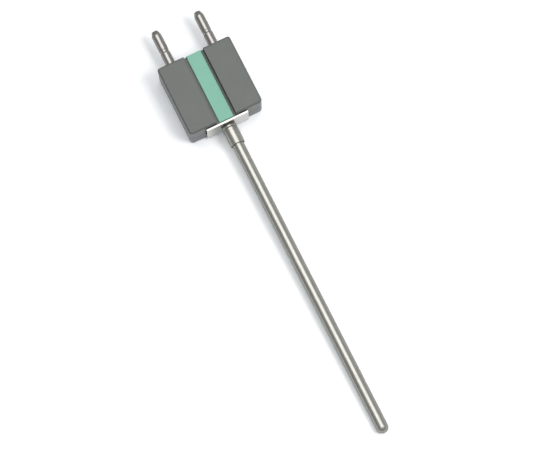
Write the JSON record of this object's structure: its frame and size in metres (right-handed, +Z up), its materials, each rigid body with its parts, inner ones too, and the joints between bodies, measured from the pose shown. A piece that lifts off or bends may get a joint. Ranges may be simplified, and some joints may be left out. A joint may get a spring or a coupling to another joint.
{
  "type": "thermocouple probe",
  "caption": "Straight steel temperature probe with a round closed tip, on a grey plug body with round pins and a green colour stripe.",
  "frame": {"origin": "on the surface that the probe lies on, under the centre of its bounding box", "axes": "+X along the probe from the pins to the tip, +Y across the pins, +Z up out of the front cover"},
  "size_m": [0.185, 0.032, 0.0143],
  "materials": {
    "front_plastic": "fine moulded texture",
    "rear_plastic": "fine moulded texture",
    "stripe_plastic": "satin",
    "pin_nickel": "bright nickel plate",
    "plate_steel": "bright rolled",
    "sheath_steel": "drawn",
    "terminal_brass": "machined",
    "screw_zinc": "zinc plated",
    "core_ceramic": "unglazed",
    "wire_alloy": "drawn wire",
    "seal_resin": "cast"
  },
  "bodies": {
    "root": {"front_cover": "front_plastic", "rear_cover": "rear_plastic", "colour_stripe": "stripe_plastic", "pin_positive": "pin_nickel", "pin_negative": "pin_nickel", "end_plate": "plate_steel", "ferrule": "sheath_steel", "sheath": "sheath_steel", "terminal_block_positive": "terminal_brass", "terminal_block_negative": "terminal_brass", "terminal_screw_positive": "screw_zinc", "terminal_screw_negative": "screw_zinc", "clamp_washer_positive": "screw_zinc", "clamp_washer_negative": "screw_zinc", "mineral_core": "core_ceramic", "thermoelement_positive": "wire_alloy", "thermoelement_negative": "wire_alloy", "measuring_junction": "wire_alloy", "seal_plug": "seal_resin", "cover_screw_middle": "screw_zinc", "cover_screw_left": "screw_zinc", "cover_screw_right": "screw_zinc"}
  },
  "joints": []
}
